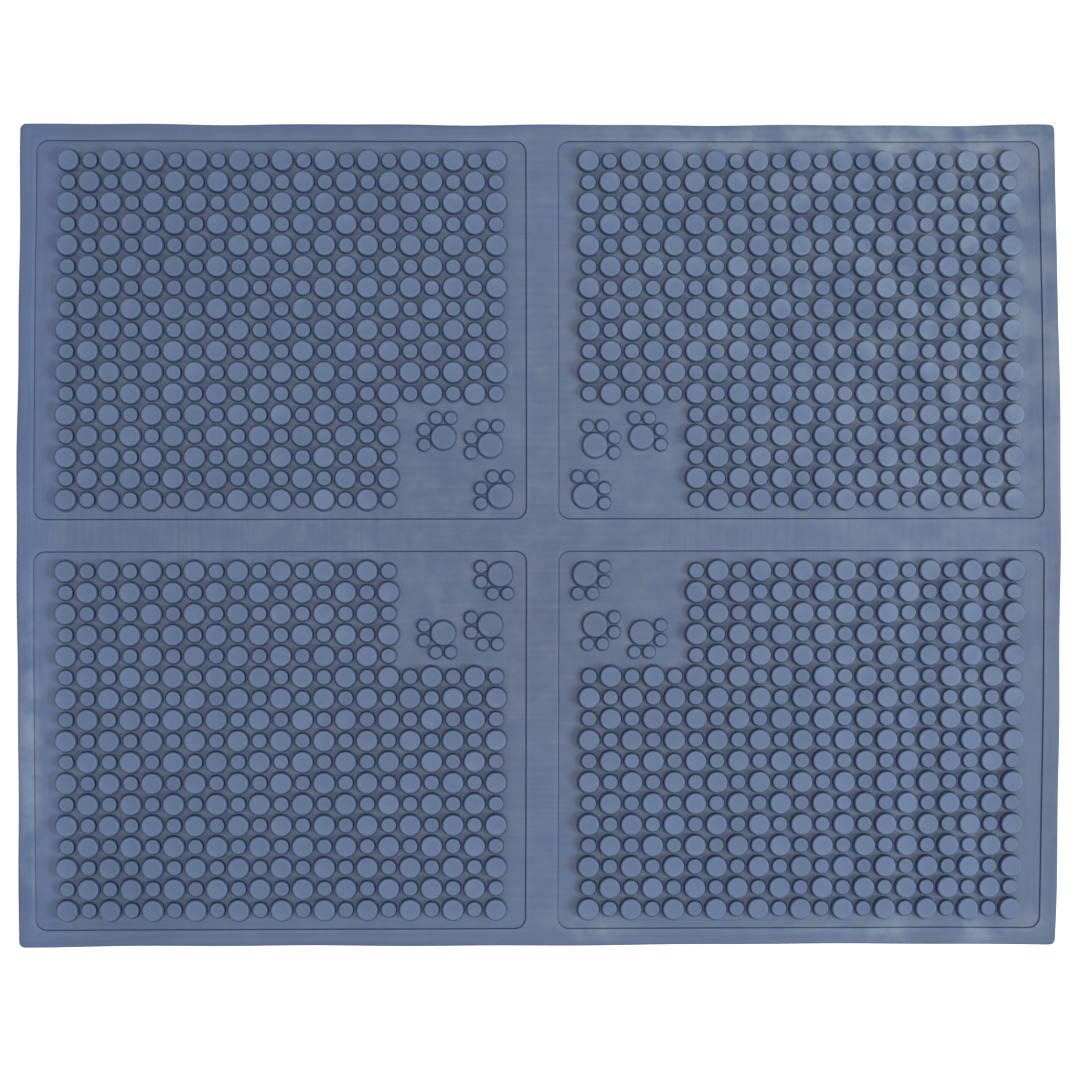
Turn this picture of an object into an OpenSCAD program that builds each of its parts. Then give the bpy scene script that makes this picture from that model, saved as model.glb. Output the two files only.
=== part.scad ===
// Studded anti-fatigue mat with paw prints. Millimetres, origin at the centre of the underside,
// +X along the long side, +Y towards the back, +Z up out of the standing surface.
// The mat is one moulding: each node below is one region of it, and neighbours meet face to face.

/* [Mat] */
// Overall width, along X
mat_width = 762; // [740:1:1200]
// Overall depth, along Y
mat_depth = 600; // [598:1:1000]
// Thickness of the sheet under the recessed panels
sheet_thickness = 3; // [1.5:0.1:8]
// Radius of the mat's own corners, in plan
mat_corner_radius = 4; // [1:0.5:12]
// Bevel round the bottom and the top of the outer edge
edge_bevel = 0.6; // [0.2:0.1:0.8]

/* [Border and cross] */
// Width of the border all round
border_width = 12.4; // [8:0.1:14]
// Width of the cross band that parts the four panels
cross_width = 23.9; // [8:0.1:24]
// Height of the border and the cross above the panel floor
border_rise = 1; // [0.9:0.1:3]
// How far the wall round a panel leans outwards over its height
wall_lean = 0.5; // [0.1:0.1:1.5]
// Radius of a panel's corners, in plan
panel_corner_radius = 8; // [2:0.5:20]

/* [Stud field] */
// Stud columns in a panel, along X
columns = 21; // [8:1:21]
// Stud rows in a panel, along Y
rows = 17; // [8:1:17]
// Distance from column to column
pitch_x = 15.57; // [14.5:0.01:16.2]
// Distance from row to row
pitch_y = 15.43; // [14.5:0.01:15.8]
// First column's distance from the mat's centre line
first_x = 33.8; // [24:0.1:40]
// First row's distance from the mat's centre line
first_y = 26.1; // [24:0.1:30]
// Columns and rows left out at the panel's inner corner, for the paw prints
clear_block = 5; // [5:1:7]

/* [Large studs] */
// Diameter of the flat top, bevel included
large_top_diameter = 14.8; // [8:0.1:15]
// Diameter at the panel floor
large_foot_diameter = 15.8; // [8:0.1:16]
// Height above the panel floor
large_height = 6.5; // [2:0.1:15]

/* [Small studs] */
// Diameter of the flat top, bevel included
small_top_diameter = 10.4; // [4:0.1:11]
// Diameter at the panel floor
small_foot_diameter = 11.4; // [4:0.1:12]
// Height above the panel floor
small_height = 4.6; // [1:0.1:12]

/* [All studs] */
// Bevel round the top of a stud
stud_bevel = 0.7; // [0.1:0.1:0.9]

/* [Paw prints] */
// Diameter of the pad, at its top
pad_diameter = 18.2; // [8:0.1:18.4]
// Diameter of a toe, at its top
toe_diameter = 9.2; // [4:0.1:9.4]
// Height of a paw print above the panel floor
paw_height = 3; // [1:0.1:8]
// Distance from the pad's centre to the line that each pair of toes is on
toe_reach = 13.9; // [13.8:0.1:15]
// Distance of a toe from the line through the pad's centre
toe_spread = 5.4; // [5.3:0.1:6]
// Lean of a pad's or a toe's side, from its foot to its top
paw_draft = 0.3; // [0:0.1:0.4]
// Bevel round the top of a pad or toe
paw_bevel = 0.5; // [0.1:0.1:0.9]

/* [Hidden] */
$fn = 64;
past = 1;
// how far from the start of a panel's corner the raised layer is parted into its strips
clear_of_corner = 2;
left = -1;
right = 1;
front = -1;
back = 1;

half_w = mat_width / 2;
half_d = mat_depth / 2;
half_cross = cross_width / 2;
border_z = sheet_thickness + border_rise;
// each panel's outer edges, from the mat's centre lines, and its size
panel_out_x = half_w - border_width;
panel_out_y = half_d - border_width;
panel_w = panel_out_x - half_cross;
panel_d = panel_out_y - half_cross;
// centre of each paw print's pad, from the mat's centre lines: three in a curve across the clear block
outer_paw = [72.1, 71.5];
middle_paw = [38.1, 65.6];
inner_paw = [30.9, 28.7];

sheet_blue = [0.34, 0.41, 0.51];
border_blue = [0.41, 0.47, 0.59];
stud_blue = [0.46, 0.51, 0.60];
small_blue = [0.42, 0.47, 0.57];
paw_blue = [0.40, 0.46, 0.58];

// half an outline seen end on: out to reach at z0, up to z1, with a bevel low and high
function edge_profile(reach, z0, z1, low, high) = concat(
    low > 0 ? [[reach - low, z0], [reach, z0 + low]] : [[reach, z0]],
    high > 0 ? [[reach, z1 - high], [reach - high, z1]] : [[reach, z1]]);

function flipped(points) = [for (k = [len(points) - 1 : -1 : 0]) [-points[k][0], points[k][1]]];

// a slab with rounded corners in plan and a bevelled rim
module bevelled_slab(w, d, r, z0, z1, low, high) {
    across = edge_profile(w / 2, z0, z1, low, high);
    along = edge_profile(d / 2, z0, z1, low, high);
    corner = edge_profile(r, z0, z1, low, high);
    rotate([90, 0, 0])
        linear_extrude(height = d - 2 * r, center = true)
            polygon(concat(across, flipped(across)));
    rotate([90, 0, 90])
        linear_extrude(height = w - 2 * r, center = true)
            polygon(concat(along, flipped(along)));
    for (sx = [left, right], sy = [front, back])
        translate([sx * (w / 2 - r), sy * (d / 2 - r), 0])
            rotate_extrude()
                polygon(concat([[0, z0]], corner, [[0, z1]]));
}

// a bar as long as length along Y, half as wide as reach at the panel floor and wider above
module leaning_bar(reach, length) {
    top = border_rise + past;
    lean = wall_lean * top / border_rise;
    rotate([90, 0, 0])
        linear_extrude(height = length, center = true)
            polygon([[-reach, 0], [reach, 0], [reach + lean, top], [-reach - lean, top]]);
}

// the space over one panel: a rounded rectangle whose walls lean outwards, up past the border
module panel_space(sx, sy) {
    r = panel_corner_radius;
    top = border_rise + past;
    translate([sx * (half_cross + panel_w / 2), sy * (half_cross + panel_d / 2), sheet_thickness]) {
        leaning_bar(panel_w / 2, panel_d - 2 * r);
        rotate(90) leaning_bar(panel_d / 2, panel_w - 2 * r);
        for (cx = [left, right], cy = [front, back])
            translate([cx * (panel_w / 2 - r), cy * (panel_d / 2 - r), 0])
                cylinder(h = top, r1 = r, r2 = r + wall_lean * top / border_rise);
    }
}

// border and cross in one piece, from the panel floor up
module raised_layer() {
    difference() {
        bevelled_slab(mat_width, mat_depth, mat_corner_radius, sheet_thickness, border_z, 0, edge_bevel);
        for (sx = [left, right], sy = [front, back]) panel_space(sx, sy);
    }
}

// the zone of the raised layer along the back edge of a mat that is reach deep and along wide, by halves
module edge_zone(reach, along) {
    mitre = border_width + panel_corner_radius + clear_of_corner;
    translate([0, 0, sheet_thickness - past])
        linear_extrude(height = border_rise + 2 * past)
            polygon([
                [-along - past, reach + past], [along + past, reach + past],
                [along - mitre, reach - mitre], [mitre - along, reach - mitre]
            ]);
}

module border_strip(turn, reach, along) {
    color(border_blue)
        intersection() {
            raised_layer();
            rotate(turn) edge_zone(reach, along);
        }
}

// a turned peg with a leaning side and a bevelled top, standing on the panel floor
module peg(foot_r, top_r, height, bevel) {
    translate([0, 0, sheet_thickness])
        rotate_extrude()
            polygon([[0, 0], [foot_r, 0], [top_r, height - bevel], [top_r - bevel, height], [0, height]]);
}

// studs of one kind in one panel: kind 0 is on the squares of one colour of a chequerboard, 1 on the other
module stud_field(sx, sy, kind, foot_diameter, top_diameter, height) {
    for (i = [0 : columns - 1], j = [0 : rows - 1])
        if ((i + j) % 2 == kind && (i >= clear_block || j >= clear_block))
            translate([sx * (first_x + i * pitch_x), sy * (first_y + j * pitch_y), 0])
                peg(foot_diameter / 2, top_diameter / 2, height, stud_bevel);
}

module large_studs(sx, sy) {
    color(stud_blue) stud_field(sx, sy, 0, large_foot_diameter, large_top_diameter, large_height);
}

module small_studs(sx, sy) {
    color(small_blue) stud_field(sx, sy, 1, small_foot_diameter, small_top_diameter, small_height);
}

// a round pad with two toes on its outer long side and two on its outer short side
module paw_print(sx, sy, centre) {
    toes = [
        [toe_spread, toe_reach], [-toe_spread, toe_reach],
        [toe_reach, toe_spread], [toe_reach, -toe_spread]
    ];
    color(paw_blue) {
        translate([sx * centre[0], sy * centre[1], 0])
            peg(pad_diameter / 2 + paw_draft, pad_diameter / 2, paw_height, paw_bevel);
        for (toe = toes)
            translate([sx * (centre[0] + toe[0]), sy * (centre[1] + toe[1]), 0])
                peg(toe_diameter / 2 + paw_draft, toe_diameter / 2, paw_height, paw_bevel);
    }
}

module base_sheet() {
    color(sheet_blue)
        bevelled_slab(mat_width, mat_depth, mat_corner_radius, 0, sheet_thickness, edge_bevel, 0);
}

module border_left() border_strip(90, half_w, half_d);
module border_right() border_strip(-90, half_w, half_d);
module border_front() border_strip(180, half_d, half_w);
module border_back() border_strip(0, half_d, half_w);

// the cross meets the border, and its arms meet its band, just clear of the panels' corners
cross_end_x = panel_out_x - panel_corner_radius - clear_of_corner;
cross_end_y = panel_out_y - panel_corner_radius - clear_of_corner;
hub = half_cross + panel_corner_radius + clear_of_corner;

module cross_band() {
    color(border_blue)
        intersection() {
            raised_layer();
            translate([-cross_end_x, -hub, sheet_thickness - past])
                cube([2 * cross_end_x, 2 * hub, border_rise + 2 * past]);
        }
}

// a straight bar that narrows upwards, lying along Y between the band and the border
module cross_arm(from_y, to_y) {
    foot = half_cross;
    top = half_cross - wall_lean;
    color(border_blue)
        translate([0, to_y, sheet_thickness])
            rotate([90, 0, 0])
                linear_extrude(height = to_y - from_y)
                    polygon([[-foot, 0], [foot, 0], [top, border_rise], [-top, border_rise]]);
}

module cross_arm_front() cross_arm(-cross_end_y, -hub);
module cross_arm_back() cross_arm(hub, cross_end_y);

base_sheet();
border_left();
border_right();
border_front();
border_back();
cross_band();
cross_arm_front();
cross_arm_back();
large_studs(left, back);  // large_studs_back_left
large_studs(right, back);  // large_studs_back_right
large_studs(left, front);  // large_studs_front_left
large_studs(right, front);  // large_studs_front_right
small_studs(left, back);  // small_studs_back_left
small_studs(right, back);  // small_studs_back_right
small_studs(left, front);  // small_studs_front_left
small_studs(right, front);  // small_studs_front_right
paw_print(left, back, outer_paw);  // outer_paw_back_left
paw_print(right, back, outer_paw);  // outer_paw_back_right
paw_print(left, front, outer_paw);  // outer_paw_front_left
paw_print(right, front, outer_paw);  // outer_paw_front_right
paw_print(left, back, middle_paw);  // middle_paw_back_left
paw_print(right, back, middle_paw);  // middle_paw_back_right
paw_print(left, front, middle_paw);  // middle_paw_front_left
paw_print(right, front, middle_paw);  // middle_paw_front_right
paw_print(left, back, inner_paw);  // inner_paw_back_left
paw_print(right, back, inner_paw);  // inner_paw_back_right
paw_print(left, front, inner_paw);  // inner_paw_front_left
paw_print(right, front, inner_paw);  // inner_paw_front_right
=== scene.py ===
"""A studded rubber mat with paw prints, seen from straight above on a white studio floor.

Every CAD node is replaced by a finer piece of the same name. The pieces are built flat, in millimetres, then
laid on the floor by one smooth function, so that neighbours still meet where the real moulding is unbroken.
"""

import math
import random

import bmesh
import bpy
import numpy as np
from mathutils import Euler, Matrix, Vector


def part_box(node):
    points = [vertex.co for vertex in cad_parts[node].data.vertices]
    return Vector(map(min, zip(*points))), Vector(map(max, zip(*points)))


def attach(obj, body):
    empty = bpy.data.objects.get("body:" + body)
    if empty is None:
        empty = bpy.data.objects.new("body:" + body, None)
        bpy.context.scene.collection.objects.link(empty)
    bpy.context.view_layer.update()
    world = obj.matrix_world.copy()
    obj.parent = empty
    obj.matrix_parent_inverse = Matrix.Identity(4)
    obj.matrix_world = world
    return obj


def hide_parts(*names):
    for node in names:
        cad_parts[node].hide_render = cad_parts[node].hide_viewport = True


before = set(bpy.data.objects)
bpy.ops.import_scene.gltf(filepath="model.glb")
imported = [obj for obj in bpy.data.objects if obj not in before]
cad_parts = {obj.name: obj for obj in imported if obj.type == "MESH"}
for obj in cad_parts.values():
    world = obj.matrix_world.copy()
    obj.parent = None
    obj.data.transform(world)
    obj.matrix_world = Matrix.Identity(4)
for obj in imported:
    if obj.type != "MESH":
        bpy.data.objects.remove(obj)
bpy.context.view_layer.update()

MM = 0.001


# ---------------------------------------------------------------- sizes, from the frame

def node_box(name):
    """A CAD node's lowest and highest corners in millimetres."""
    low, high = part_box(name)
    return low / MM, high / MM


_, sheet_high = node_box("base_sheet")
arm_low, arm_high = node_box("cross_arm_back")
_, band_high = node_box("cross_band")

half_w = sheet_high.x
half_d = sheet_high.y
floor_z = sheet_high.z
border_z = arm_high.z
rise = border_z - floor_z
half_cross = arm_high.x
hub = arm_low.y
cross_end_x = band_high.x
cross_end_y = arm_high.y
# the panels reach as far past the cross's ends as its hub reaches past its arms
panel_out_x = cross_end_x + hub - half_cross
panel_out_y = cross_end_y + hub - half_cross
NEAR = 0.01  # points closer than this, in millimetres, to a line or a plane of the CAD are on it
EXACT = 1e-6  # room for the last digits of a number


def points_of(name):
    """The corner points of a CAD node's mesh in millimetres."""
    return np.array([v.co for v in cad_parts[name].data.vertices], float) / MM


def corner_radii():
    """The radii of the mat's corners and of the panels' corners, from where their straight edges end."""
    x, y, z = points_of("base_sheet").T
    mat = half_w - x[(y > half_d - NEAR) & (z > floor_z - NEAR)].max()
    x, y, z = points_of("cross_band").T
    straight = (abs(y - half_cross) < NEAR) & (x > half_cross + 0.5) & (z < floor_z + NEAR)
    return float(mat), float(x[straight].min() - half_cross)


mat_corner, panel_corner = corner_radii()


# ---------------------------------------------------------------- how the mat lies

def ripple(along, waves):
    """A sum of sine waves, each (height, wavelength, phase)."""
    return sum(a * np.sin(2 * math.pi * along / length + phase) for a, length, phase in waves)


EDGE_REACH = 13  # how far in from the outline its unevenness fades out
# how each stretch of the outline strays from a straight line: (height, wavelength, phase) of each wave
BACK_EDGE = [(0.32, 176.0, 0.4), (0.22, 91.0, 2.0)]
FRONT_EDGE = [(0.36, 420.0, 1.9), (0.20, 128.0, 0.3)]
LEFT_EDGE = [(0.42, 330.0, 1.2), (0.20, 104.0, 4.0)]
RIGHT_EDGE = [(0.34, 300.0, 0.2), (0.22, 118.0, 2.6)]


def near(distance, reach):
    """1 at an edge, falling smoothly to 0 at reach from it."""
    t = np.clip(1 - distance / reach, 0, 1)
    return t * t * (3 - 2 * t)


def lift(x, y):
    """Height of the underside over the floor: flat in the middle, with a slight curl at the right end and corners."""
    v = y / half_d
    column_waves = 0.35 * np.sin(2 * math.pi * x / 47.0 + 0.6) * np.sin(math.pi * (0.5 - 0.45 * v))
    right = near(half_w - x, 120) * (0.9 + column_waves)
    corner_r = near(half_w - x, 90) * near(half_d - np.abs(y), 90) * 1.6
    corner_l = near(half_w + x, 70) * near(half_d - np.abs(y), 70) * 0.9
    ends = near(half_d - np.abs(y), 60) * 0.25 * (1 + np.sin(2 * math.pi * x / 151.0 + 1.1 * np.sign(y)))
    sides = near(half_w - np.abs(x), 60) * 0.25 * (1 + np.sin(2 * math.pi * y / 133.0 + 0.8 * np.sign(x)))
    return right + corner_r + corner_l + ends + sides


def lay(points):
    """Takes points of the flat mat, in millimetres, to where they lie on the floor, in metres."""
    x, y, z = points.T
    u, v = x / half_w, y / half_d
    # the short sides bow out in the middle, the right one more, and the back leans a little to the right
    dx = 0.2 + 2.45 * u - 2.15 * u**3 - (3.8 + 0.6 * u) * u * v**2 - 0.65 * v**2 + 0.35 * v - 0.3 * u * v
    dy = 0.25 * u + 1.3 * u * v - 0.2 * u * v**2 - 0.3 * v**3
    # the outline isn't quite straight, but the studs keep their rows
    dy = dy + near(half_d - y, EDGE_REACH) * ripple(x, BACK_EDGE) - near(half_d + y, EDGE_REACH) * ripple(x, FRONT_EDGE)
    dx = dx + near(half_w - x, EDGE_REACH) * ripple(y, RIGHT_EDGE) - near(half_w + x, EDGE_REACH) * ripple(y, LEFT_EDGE)
    # a point above the underside leans with the slope under it
    step = 0.5
    slope_x = (lift(x + step, y) - lift(x - step, y)) / (2 * step)
    slope_y = (lift(x, y + step) - lift(x, y - step)) / (2 * step)
    laid = np.stack([x + dx - z * slope_x, y + dy - z * slope_y, z + lift(x, y)], axis=1)
    return laid * MM


# ---------------------------------------------------------------- mesh helpers

BLOOM_PATCHES = [  # (x, y, reach along X, reach along Y, strength), in millimetres
    # back border and margin
    (258, 281, 13, 9, 0.9), (320, 280, 15, 9, 0.9), (140, 282, 40, 6, 0.35), (200, 293, 190, 9, 0.45),
    # front border and margin
    (30, -283, 26, 7, 0.8), (330, -284, 45, 8, 0.6), (190, -286, 60, 6, 0.35),
    # left border and margin
    (-372, -160, 9, 110, 0.9), (-345, -160, 9, 120, 0.5),
    # along the last columns of studs on the right
    (352, 200, 5, 80, 0.5), (316, -190, 4.5, 90, 0.9), (267, -225, 4.5, 60, 0.8), (267, 60, 5, 160, 0.35),
    # on the front border
    (250, -292, 20, 7, 0.6), (330, -293, 14, 7, 0.6), (45, -292, 20, 6, 0.5),
]


def bloom(x, y, z):
    """How much pale bloom the rubber has at a place: more towards the back right, and in patches low on the mat."""
    amount = 0.52 * np.clip((x + 60) / 400, 0, 1) * np.clip((y + 260) / 420, 0.15, 1)
    low = np.clip((floor_z + 1.6 - z) / 0.5, 0, 1)
    for px, py, rx, ry, strength in BLOOM_PATCHES:
        amount = amount + low * strength * np.exp(-((x - px) / rx)**2 - ((y - py) / ry)**2)
    return amount


def skin_values(flat, shade):
    """The values that the rubber's material reads at each point: how much lighter or darker it is, how much bloom it
    has, whether the mould's bands run along X or Y, and how much bluer it is."""
    x, y = flat[:, 0], flat[:, 1]
    tone = np.asarray(shade, float)
    # painted light and shade for faint waves in the sheet: columns of studs in the front right panel are painted
    # lighter and darker in turn
    front_right = np.clip((x - 120) / 120, 0, 1) * np.clip((40 - y) / 120, 0, 1)
    tone = tone + 0.07 * front_right * np.sin(2 * math.pi * (x - 302) / 50)
    # the middle and the right end are a little darker than the rest
    tone = tone - 0.12 * np.exp(-(x / 170)**2 - ((y + 50) / 170)**2)
    tone = tone - 0.15 * np.clip((x - 345) / 10, 0, 1) * np.clip((200 - y) / 300, 0.4, 1)
    # the left margin is a little lighter and bluer
    cool = np.clip((-x - 345) / 10, 0, 1)
    tone = tone + 0.06 * cool
    along = np.clip(0.5 + (np.abs(x) - half_w - np.abs(y) + half_d) / 30, 0, 1)
    return {"shade": tone, "bloom": bloom(*flat.T), "along": along, "cool": cool}


SMOOTH_BELOW = math.radians(50)
WELD = 2e-6  # points closer than this, in metres, are one point


def piece(name, points, faces, material, shade):
    """Makes a laid piece from flat points and faces, and lets it stand for the CAD node of the same name.
    shade says, for each point, how much lighter or darker the skin is painted there than the rest of the piece: mostly
    painted shade and highlight, with some tone of the rubber's own."""
    flat = np.asarray(points, float)
    mesh = bpy.data.meshes.new(name)
    mesh.from_pydata(lay(flat).tolist(), [], faces)
    for key, values in skin_values(flat, shade).items():
        mesh.attributes.new(key, "FLOAT", "POINT").data.foreach_set("value", values.astype(np.float32))
    mesh.validate()
    tidy = bmesh.new()
    tidy.from_mesh(mesh)
    bmesh.ops.remove_doubles(tidy, verts=tidy.verts, dist=WELD)
    bmesh.ops.recalc_face_normals(tidy, faces=tidy.faces)
    tidy.to_mesh(mesh)
    tidy.free()
    mesh.shade_smooth()
    mesh.set_sharp_from_angle(angle=SMOOTH_BELOW)
    obj = bpy.data.objects.new(name + "_rubber", mesh)
    bpy.context.scene.collection.objects.link(obj)
    mesh.materials.append(material)
    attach(obj, "root")
    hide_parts(name)


# ---------------------------------------------------------------- rubber

BLUE, DEEP, PALE, BLOOM = (0.061, 0.100, 0.194), (0.053, 0.089, 0.178), (0.094, 0.136, 0.230), (0.188, 0.242, 0.300)


def rubber(name, band_amount):
    """Matte moulded rubber: blue-grey, mottled, with a pale bloom, fine scuffs and a very fine grain. band_amount says
    how much the soft bands left by the mould show."""
    mat = bpy.data.materials.new(name)
    mat.use_nodes = True
    tree = mat.node_tree
    tree.nodes.clear()
    nodes, links = tree.nodes, tree.links

    def add(kind, **sockets):
        node = nodes.new(kind)
        for key, value in sockets.items():
            node.inputs[key.replace("_", " ")].default_value = value
        return node

    def noise(scale, detail, rough, vector=None):
        node = add("ShaderNodeTexNoise", Scale=scale, Detail=detail, Roughness=rough)
        links.new(vector or place.outputs["Object"], node.inputs["Vector"])
        return node.outputs["Fac"]

    def ramp(source, low, high):
        node = nodes.new("ShaderNodeMapRange")
        node.inputs["From Min"].default_value = low
        node.inputs["From Max"].default_value = high
        node.interpolation_type = "SMOOTHSTEP"
        links.new(source, node.inputs["Value"])
        return node.outputs["Result"]

    def times(a, b):
        node = nodes.new("ShaderNodeMath")
        node.operation = "MULTIPLY"
        links.new(a, node.inputs[0])
        if isinstance(b, float):
            node.inputs[1].default_value = b
        else:
            links.new(b, node.inputs[1])
        return node.outputs[0]

    def scaled(colour, operation, socket, amount):
        node = nodes.new("ShaderNodeVectorMath")
        node.operation = operation
        links.new(colour, node.inputs[0])
        links.new(amount, node.inputs[socket])
        return node.outputs["Vector"]

    def mix(amount, a, b):
        node = nodes.new("ShaderNodeMix")
        node.data_type = "RGBA"
        links.new(amount, node.inputs["Factor"])
        for socket, value in ((node.inputs["A"], a), (node.inputs["B"], b)):
            if isinstance(value, tuple):
                socket.default_value = (*value, 1)
            else:
                links.new(value, socket)
        return node.outputs["Result"]

    def attribute(key):
        node = nodes.new("ShaderNodeAttribute")
        node.attribute_name = key
        return node.outputs["Fac"]

    def stretched(scale, turn=0.0):
        node = nodes.new("ShaderNodeMapping")
        node.inputs["Scale"].default_value = scale
        node.inputs["Rotation"].default_value = (0, 0, turn)
        links.new(place.outputs["Object"], node.inputs["Vector"])
        return node.outputs["Vector"]

    def blend(amount, a, b):
        node = nodes.new("ShaderNodeMix")
        links.new(amount, node.inputs["Factor"])
        links.new(a, node.inputs["A"])
        links.new(b, node.inputs["B"])
        return node.outputs["Result"]

    place = nodes.new("ShaderNodeTexCoord")
    blotch = ramp(noise(9.0, 3.0, 0.55), 0.35, 0.68)
    mottle = ramp(noise(60.0, 4.0, 0.6), 0.3, 0.72)
    fine = ramp(noise(700.0, 3.0, 0.6), 0.25, 0.8)
    # soft bands left by the mould, running along whichever border is nearer
    bands = blend(attribute("along"), noise(1.0, 2.0, 0.6, stretched((9.0, 260.0, 1.0))),
                  noise(1.0, 2.0, 0.6, stretched((260.0, 9.0, 1.0))))
    bands = ramp(bands, 0.32, 0.70)
    # wiping streaks, and a few thin scratches
    streak = ramp(noise(6.0, 3.0, 0.6, stretched((6.0, 90.0, 30.0), 0.35)), 0.58, 0.8)
    scratch = ramp(noise(1.0, 2.0, 0.5, stretched((20.0, 1500.0, 1.0), 0.12)), 0.70, 0.78)
    cloud = ramp(noise(38.0, 3.0, 0.6), 0.32, 0.68)

    colour = mix(blotch, BLUE, DEEP)
    colour = mix(times(mottle, 0.35), colour, PALE)
    colour = mix(times(bands, band_amount), colour, PALE)
    colour = mix(times(streak, 0.25), colour, PALE)
    colour = mix(times(scratch, 0.30), colour, PALE)
    colour = mix(times(fine, 0.15), colour, DEEP)
    colour = mix(times(times(attribute("bloom"), cloud), 0.75), colour, BLOOM)
    # the shade attribute scales the colour: mostly painted shade and highlight, with some tone of the rubber's own
    brightness = nodes.new("ShaderNodeMath")
    brightness.inputs[1].default_value = 1.0
    links.new(attribute("shade"), brightness.inputs[0])
    colour = scaled(colour, "SCALE", "Scale", brightness.outputs[0])
    colour = scaled(colour, "MULTIPLY", 1, mix(attribute("cool"), (1.0, 1.0, 1.0), (1.0, 1.01, 1.11)))

    rough = nodes.new("ShaderNodeMapRange")
    rough.inputs["To Min"].default_value = 0.50
    rough.inputs["To Max"].default_value = 0.66
    links.new(mottle, rough.inputs["Value"])

    grain = add("ShaderNodeBump", Strength=0.25, Distance=0.00012)
    links.new(noise(2200.0, 2.0, 0.5), grain.inputs["Height"])
    wave = add("ShaderNodeBump", Strength=0.35, Distance=0.0006)
    links.new(noise(120.0, 2.0, 0.5), wave.inputs["Height"])
    links.new(grain.outputs["Normal"], wave.inputs["Normal"])

    skin = nodes.new("ShaderNodeBsdfPrincipled")
    skin.inputs["IOR"].default_value = 1.5
    skin.inputs["Specular IOR Level"].default_value = 0.5
    links.new(colour, skin.inputs["Base Color"])
    links.new(rough.outputs["Result"], skin.inputs["Roughness"])
    links.new(wave.outputs["Normal"], skin.inputs["Normal"])
    out = nodes.new("ShaderNodeOutputMaterial")
    links.new(skin.outputs["BSDF"], out.inputs["Surface"])
    return mat


sheet_rubber = rubber("sheet_rubber", 0.35)
border_rubber = rubber("border_rubber", 0.45)
stud_rubber = rubber("stud_rubber", 0.05)
small_rubber = rubber("small_stud_rubber", 0.05)
paw_rubber = rubber("paw_rubber", 0.05)


# ---------------------------------------------------------------- base sheet

def spread(half, fine_to, fine_count, step):
    """Coordinates from -half to half: close together within fine_to of each end, step apart between."""
    inner = half - fine_to
    count = max(2, round(2 * inner / step))
    middle = np.linspace(-inner, inner, count + 1)
    ends = inner + (half - inner) * np.linspace(0, 1, fine_count + 1)[1:]
    return np.concatenate([-ends[::-1], middle, ends])


def rounded(x, y, reach_x, reach_y, r):
    """Moves a point of a square-cornered rectangle to where it is when the corners are rounded with radius r."""
    px, py = abs(x) - (reach_x - r), abs(y) - (reach_y - r)
    if r <= 0 or px <= 0 or py <= 0:
        return x, y
    far = max(px, py)
    angle = math.atan2(py, px)
    return (math.copysign(reach_x - r + far * math.cos(angle), x),
            math.copysign(reach_y - r + far * math.sin(angle), y))


def slab(reach_x, reach_y, r, z0, z1, bevel, step):
    """A rounded slab as a grid above, a grid below and rings round the rim; the lower rim is rounded by bevel."""
    xs = spread(reach_x - bevel, r, 4, step)
    ys = spread(reach_y - bevel, r, 4, step)
    nx, ny = len(xs), len(ys)
    points, faces = [], []

    def add_point(x, y, z, inset):
        fx = (reach_x - inset) / (reach_x - bevel)
        fy = (reach_y - inset) / (reach_y - bevel)
        points.append((*rounded(x * fx, y * fy, reach_x - inset, reach_y - inset, r - inset), z))

    def grid(z, inset):
        start = len(points)
        for y in ys:
            for x in xs:
                add_point(x, y, z, inset)
        return start

    top = grid(z1, 0.0)
    bottom = grid(z0, bevel)
    for j in range(ny - 1):
        for i in range(nx - 1):
            a = top + j * nx + i
            faces.append((a, a + 1, a + nx + 1, a + nx))
            b = bottom + j * nx + i
            faces.append((b, b + nx, b + nx + 1, b + 1))
    loop = (list(range(nx)) + [j * nx + nx - 1 for j in range(1, ny)]
            + [(ny - 1) * nx + i for i in range(nx - 2, -1, -1)] + [j * nx for j in range(ny - 2, 0, -1)])
    rows = [[top + k for k in loop]]
    for turn in (0.0, 0.25, 0.5, 0.75):
        angle = turn * math.pi / 2
        inset = bevel * (1 - math.cos(angle))
        z = z0 + bevel * (1 - math.sin(angle))
        row = []
        for k in loop:
            row.append(len(points))
            add_point(xs[k % nx], ys[k // nx], z, inset)
        rows.append(row)
    rows.append([bottom + k for k in loop])
    for upper, lower in zip(rows, rows[1:]):
        for k in range(len(loop)):
            n = (k + 1) % len(loop)
            faces.append((upper[k], lower[k], lower[n], upper[n]))
    return points, faces


# painted shade among the studs, partly dirt: how much darker the floor there is painted
FIELD_SHADE = -0.24


def field_shade(points):
    """The floor is painted a little darker among the studs than on the margins and by the paws: painted shade between
    the studs, and partly dirt.
    """
    x, y, z = np.abs(np.asarray(points, float)).T
    near_studs = np.clip((panel_out_x - 17 - x) / 8, 0, 1) * np.clip((panel_out_y - 12 - y) / 8, 0, 1)
    near_studs *= np.clip((np.minimum(x, y) - 22) / 8, 0, 1)
    near_studs *= np.clip(np.maximum((x - 104) / 8, (y - 96) / 8), 0, 1)
    return FIELD_SHADE * near_studs * (z > floor_z - 0.1)


STEP = 7.5  # between the points of the long pieces
UNDERSIDE_BEVEL = 0.6
sheet_points, sheet_faces = slab(half_w, half_d, mat_corner, 0.0, floor_z, UNDERSIDE_BEVEL, STEP)
piece("base_sheet", sheet_points, sheet_faces, sheet_rubber, field_shade(sheet_points))


# ---------------------------------------------------------------- border and cross

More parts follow.
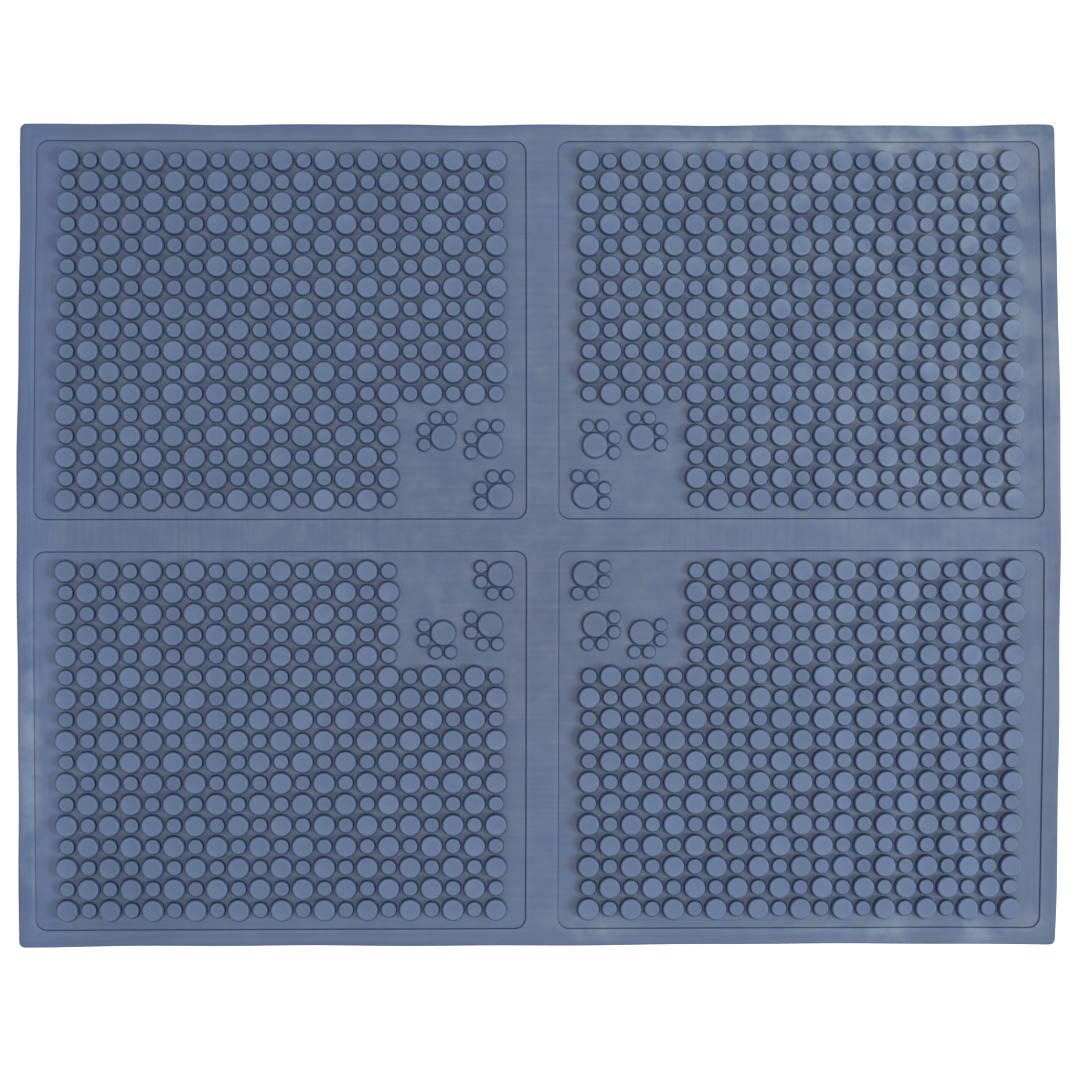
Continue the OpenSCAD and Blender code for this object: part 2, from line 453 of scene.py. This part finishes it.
WALL = [  # (distance outwards from the panel's edge, height over the floor), up the wall round a panel
    (-0.55, -0.03), (-0.30, 0.01), (-0.10, 0.07), (0.06, 0.22), (0.28, 0.66), (0.42, 0.84), (0.66, 0.96), (1.05, 1.0),
]
RIM = [  # (inset from the outline, height over the floor), over the outer edge and down its side
    (1.5, 0.99), (0.85, 0.93), (0.40, 0.78), (0.12, 0.52), (0.0, 0.20), (0.0, 0.0),
]
# how dark the skin is painted at each point of WALL: painted shade in the foot of the wall, and a painted highlight on
# the edge at its top
WALL_SHADE = [-0.06, -0.40, -0.58, -0.58, -0.50, -0.30, 0.0, 0.10]
ARC_STEPS = 10  # round each corner of a panel
SUNK = 0.03  # how far the foot of a wall goes into the floor


def stops(a, b):
    """Evenly spaced numbers from a to b, about STEP apart, both ends included."""
    return list(np.linspace(a, b, max(1, round(abs(b - a) / STEP)) + 1))


def columns_of(cell_part):
    """One part of the way round the back right panel: for each column, the foot of its wall, the way outwards, and the
    point that it runs to on the edge of this quarter of the mat. The part is named for the piece that it belongs to."""
    r = panel_corner
    x0, x1, y0, y1 = half_cross, panel_out_x, half_cross, panel_out_y
    columns = []

    def to_back(p):
        return p[0], half_d

    def to_side(p):
        return half_w, p[1]

    def to_middle_x(p):
        return 0.0, p[1]

    def to_middle_y(p):
        return p[0], 0.0

    def straight(points, out, target):
        for p in points:
            columns.append((p, out, target(p)))

    def arc(centre, start, end, corner):
        for k in range(ARC_STEPS + 1):
            angle = start + (end - start) * k / ARC_STEPS
            c, s = math.cos(angle), math.sin(angle)
            far = max(abs(c), abs(s))
            reach_x, reach_y = abs(corner[0] - centre[0]), abs(corner[1] - centre[1])
            columns.append(((centre[0] + r * c, centre[1] + r * s), (c, s),
                            (centre[0] + reach_x * c / far, centre[1] + reach_y * s / far)))

    if cell_part == "border_end":
        arc((x1 - r, y1 - r), math.pi / 4, math.pi / 2, (half_w, half_d))
        straight([(x, y1) for x in stops(x1 - r, x0 + r)[1:-1]], (0, 1), to_back)
        arc((x0 + r, y1 - r), math.pi / 2, math.pi, (0.0, half_d))
        straight([(x0, cross_end_y)], (-1, 0), to_middle_x)
    if cell_part == "arm":
        straight([(x0, y) for y in stops(cross_end_y, hub)], (-1, 0), to_middle_x)
    if cell_part == "band":
        straight([(x0, hub)], (-1, 0), to_middle_x)
        arc((x0 + r, y0 + r), math.pi, 1.5 * math.pi, (0.0, 0.0))
        straight([(x, y0) for x in stops(x0 + r, cross_end_x)[1:]], (0, -1), to_middle_y)
    if cell_part == "border_side":
        straight([(cross_end_x, y0)], (0, -1), to_middle_y)
        arc((x1 - r, y0 + r), 1.5 * math.pi, 2 * math.pi, (half_w, 0.0))
        straight([(x1, y) for y in stops(y0 + r, y1 - r)[1:-1]], (1, 0), to_side)
        arc((x1 - r, y1 - r), 0.0, math.pi / 4, (half_w, half_d))
    return columns


def on_rim(p):
    """True if a column runs to this point on the mat's outline, and not on a centre line."""
    return p[0] > half_w - EXACT or p[1] > half_d - EXACT


def inset_point(p, inset):
    """A point of the outline, brought inwards by inset, round the mat's corner where it has one."""
    in_x, in_y = half_w - inset, half_d - inset
    x = in_x if p[0] > half_w - EXACT else p[0] * in_x / half_w
    y = in_y if p[1] > half_d - EXACT else p[1] * in_y / half_d
    return rounded(x, y, in_x, in_y, max(mat_corner - inset, 0.01))


def raised_strip(cell_part, quadrants):
    """The part of the border or cross that cell_part names, in each of the quadrants given."""
    points, faces, shade = [], [], []
    for sx, sy in quadrants:
        start = len(points)
        sections = []
        for foot, out, target in columns_of(cell_part):
            outside = on_rim(target)
            section = [(foot[0] + out[0] * d, foot[1] + out[1] * d, floor_z + h * rise) for d, h in WALL]
            last = section[-1]
            edge = inset_point(target, RIM[0][0]) if outside else target
            for t in (0.33, 0.67):
                section.append((last[0] + (edge[0] - last[0]) * t, last[1] + (edge[1] - last[1]) * t, border_z))
            if outside:
                section += [(*inset_point(target, inset), floor_z + h * rise) for inset, h in RIM]
            else:
                section += [(*target, border_z)] * (len(RIM) - 1) + [(*target, floor_z)]
            section.append((*foot, floor_z - SUNK))
            sections.append((outside, section))
        rows = len(sections[0][1])
        for _, section in sections:
            points += [(sx * x, sy * y, z) for x, y, z in section]
            shade += WALL_SHADE + [0.0] * (rows - len(WALL_SHADE))
        for c in range(len(sections) - 1):
            both_inside = not sections[c][0] and not sections[c + 1][0]
            for k in range(rows):
                n = (k + 1) % rows
                # the next quadrant's part goes on from the centre line, so there is no wall down to the floor
                if both_inside and k == rows - 3:
                    continue
                a, b = start + c * rows, start + (c + 1) * rows
                face = [a + k, a + n, b + n, b + k]
                faces.append(face if sx * sy > 0 else face[::-1])
        for c in (0, len(sections) - 1):
            faces.append([start + c * rows + k for k in range(rows)])
    return points, faces, shade


RIGHT_SIDE, LEFT_SIDE = [(1, 1), (1, -1)], [(-1, 1), (-1, -1)]
BACK_SIDE, FRONT_SIDE = [(1, 1), (-1, 1)], [(1, -1), (-1, -1)]
for name, part, quadrants in (
    ("border_back", "border_end", BACK_SIDE), ("border_front", "border_end", FRONT_SIDE),
    ("border_right", "border_side", RIGHT_SIDE), ("border_left", "border_side", LEFT_SIDE),
    ("cross_arm_back", "arm", BACK_SIDE), ("cross_arm_front", "arm", FRONT_SIDE),
    ("cross_band", "band", BACK_SIDE + FRONT_SIDE),
):
    points, faces, shade = raised_strip(part, quadrants)
    piece(name, points, faces, border_rubber, shade)


# ---------------------------------------------------------------- studs and paw prints

def pegs_of(node):
    """Each peg of a CAD node: its centre, height over the floor, and radii at the foot and at the shoulder."""
    mesh = bmesh.new()
    mesh.from_mesh(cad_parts[node].data)
    bmesh.ops.remove_doubles(mesh, verts=mesh.verts, dist=1e-6)
    seen, pegs = set(), []
    for first in mesh.verts:
        if first in seen:
            continue
        seen.add(first)
        island, queue = [], [first]
        while queue:
            v = queue.pop()
            island.append(tuple(v.co / MM))
            for e in v.link_edges:
                w = e.other_vert(v)
                if w not in seen:
                    seen.add(w)
                    queue.append(w)
        p = np.array(island)
        centre = (p.min(0) + p.max(0)) / 2
        reach = np.hypot(p[:, 0] - centre[0], p[:, 1] - centre[1])
        height = p[:, 2].max() - floor_z
        shoulder = reach[p[:, 2] > floor_z + 0.5].max()
        pegs.append((centre[0], centre[1], height, reach.max(), shoulder))
    mesh.free()
    return sorted(pegs)


PEG_SUNK = 0.04  # how far the root of a stud goes into the floor


def peg_profile(height, foot, shoulder, edge, dish, floor_shade):
    """(radius, height, shade) from the flared root to the middle of the top: a leaning side with painted shade at its
    foot, partly for dirt, a rounded edge with a painted highlight, and a dished top with a painted highlight round its
    lip."""
    skirt = 1.5 * height / (height + 1.5)
    # painted shade: the floor round the root and the foot of the side are painted darker, partly for dirt
    root = [(foot + skirt + 0.05, -PEG_SUNK, floor_shade), (foot + skirt, 0.012, floor_shade),
            (foot + skirt * 0.62, 0.05, floor_shade - 0.13), (foot + skirt * 0.30, 0.13, floor_shade - 0.20),
            (foot + 0.04, 0.42, -0.28), (foot - 0.04, min(1.1, height * 0.4), -0.12),
            (0.5 * (foot + shoulder), height * 0.55, -0.03)]
    rim = []
    # a painted highlight on the rounded edge
    for turn, shade in ((0.0, 0.0), (0.25, 0.03), (0.5, 0.06), (0.75, 0.09), (1.0, 0.09)):
        angle = turn * math.pi / 2
        rim.append((shoulder - edge * (1 - math.cos(angle)), height - edge * (1 - math.sin(angle)), shade))
    flat = shoulder - edge
    # a painted highlight round the lip of the dish, and the middle a little darker
    top = [(flat * 0.88, height - dish * 0.35, 0.06), (flat * 0.6, height - dish * 0.8, -0.01),
           (flat * 0.25, height - dish, -0.02)]
    return root + rim + top, height - dish


def peg_field(node, sides, edge, dish, lean, top_highlight, floor_shade, seed):
    """All pegs of one CAD node, each very slightly uneven, as moulded rubber is; lean draws their shoulders in, and the
    top highlight paints their upper parts lighter: a painted highlight, rising from nothing at the floor."""
    chance = random.Random(seed)
    points, faces, shades = [], [], []
    for x, y, height, foot, shoulder in pegs_of(node):
        profile, crown = peg_profile(height + chance.uniform(-0.06, 0.02), foot, shoulder - lean, edge, dish,
                                     floor_shade)
        # a painted highlight on the upper part of each peg, growing with height, with a little random tone of its own
        tone = top_highlight + chance.gauss(0, 0.03)
        tilt_x, tilt_y = chance.gauss(0, 0.006), chance.gauss(0, 0.006)
        size = 1 + chance.gauss(0, 0.004)
        start = len(points)
        for r, z, shade in profile:
            shades += [shade + tone * min(1.0, max(z, 0.0) / height * 1.5)] * sides
            for k in range(sides):
                angle = 2 * math.pi * (k + 0.5) / sides
                px, py = r * size * math.cos(angle), r * size * math.sin(angle)
                raised = max(z, 0) / height
                points.append((x + px, y + py, floor_z + z + raised * (tilt_x * px + tilt_y * py)))
        middle = len(points)
        points.append((x, y, floor_z + crown))
        bottom = len(points)
        points.append((x, y, floor_z - PEG_SUNK))
        shades += [tone, tone]
        rows = len(profile)
        for row in range(rows - 1):
            for k in range(sides):
                n = (k + 1) % sides
                a, b = start + row * sides, start + (row + 1) * sides
                faces.append((a + k, a + n, b + n, b + k))
        last = start + (rows - 1) * sides
        for k in range(sides):
            n = (k + 1) % sides
            faces.append((last + k, last + n, middle))
            faces.append((start + n, start + k, bottom))
    return points, faces, shades


PAW = (paw_rubber, "paws", 48, 1.0, 0.12, 0.30, 0.05, -0.04)
PEGS = {  # material, slot, sides, edge, dish, lean, painted highlight on the top, painted shade of the floor round it
    "large_studs": (stud_rubber, "studs", 36, 1.0, 0.22, 0.12, 0.16, FIELD_SHADE),
    "small_studs": (small_rubber, "small_studs", 28, 0.9, 0.14, 0.06, 0.08, FIELD_SHADE),
    "outer_paw": PAW, "middle_paw": PAW, "inner_paw": PAW,
}
for number, quadrant in enumerate(("back_left", "back_right", "front_left", "front_right")):
    for kind, (material, slot, sides, edge, dish, lean, top_highlight, floor_shade) in PEGS.items():
        name = f"{kind}_{quadrant}"
        seed = number + 10 * sides
        points, faces, shade = peg_field(name, sides, edge, dish, lean, top_highlight, floor_shade, seed)
        piece(name, points, faces, material, shade)


# ---------------------------------------------------------------- floor, light and camera

def white_floor():
    """A white matte material, which is clear from behind, so that the underside can be looked at."""
    mat = bpy.data.materials.new("white_floor")
    mat.use_nodes = True
    tree = mat.node_tree
    shader = tree.nodes["Principled BSDF"]
    shader.inputs["Base Color"].default_value = (0.93, 0.93, 0.93, 1)
    shader.inputs["Roughness"].default_value = 0.9
    shader.inputs["Emission Color"].default_value = (1, 1, 1, 1)
    shader.inputs["Emission Strength"].default_value = 0.3
    side = tree.nodes.new("ShaderNodeNewGeometry")
    clear = tree.nodes.new("ShaderNodeBsdfTransparent")
    choose = tree.nodes.new("ShaderNodeMixShader")
    tree.links.new(side.outputs["Backfacing"], choose.inputs[0])
    tree.links.new(shader.outputs[0], choose.inputs[1])
    tree.links.new(clear.outputs[0], choose.inputs[2])
    tree.links.new(choose.outputs[0], tree.nodes["Material Output"].inputs["Surface"])
    return mat


def lamp(name, place, power, size):
    """A square lamp, aimed at the middle of the mat."""
    data = bpy.data.lights.new(name, "AREA")
    data.energy, data.size = power, size
    obj = bpy.data.objects.new(name, data)
    bpy.context.scene.collection.objects.link(obj)
    obj.location = place
    obj.rotation_euler = (-Vector(place)).to_track_quat("-Z", "Y").to_euler()


def studio():
    """The white floor, a low key lamp on the right, a large lamp overhead and a dim white surround."""
    mesh = bpy.data.meshes.new("studio_floor")
    size, below = 6.0, -0.0002
    mesh.from_pydata([(x, y, below) for x, y in ((-size, -size), (size, -size), (size, size), (-size, size))], [],
                     [(0, 1, 2, 3)])
    mesh.materials.append(white_floor())
    floor = bpy.data.objects.new("studio_floor", mesh)
    bpy.context.scene.collection.objects.link(floor)

    lamp("key", (1.9, -0.55, 1.55), 39, 0.9)
    lamp("overhead", (-0.15, 0.05, 3.0), 58, 1.6)

    world = bpy.data.worlds.new("studio")
    bpy.context.scene.world = world
    world.use_nodes = True
    background = world.node_tree.nodes["Background"]
    background.inputs["Color"].default_value = (1, 1, 1, 1)
    background.inputs["Strength"].default_value = 0.26


def camera():
    """Looks straight down from 1.3 m, with a 60 mm lens, tipped by a degree and a half."""
    distance, lens = 1.3092, 60.0
    turn = Euler([math.radians(a) for a in (0.011, 1.534, 0.05)], "XYZ").to_matrix().to_4x4()
    top = Matrix.Translation((0, 0, -0.0095))
    shift = Matrix.Translation((0.0019, 0.0036, -distance))
    data = bpy.data.cameras.new("camera")
    data.lens, data.sensor_width = lens, 36.0
    data.clip_start, data.clip_end = 0.05, 50
    obj = bpy.data.objects.new("camera", data)
    bpy.context.scene.collection.objects.link(obj)
    obj.matrix_world = (shift @ turn @ top).inverted()
    bpy.context.scene.camera = obj


studio()
camera()
bpy.context.scene.view_settings.view_transform = "Standard"
bpy.context.scene.view_settings.look = "None"
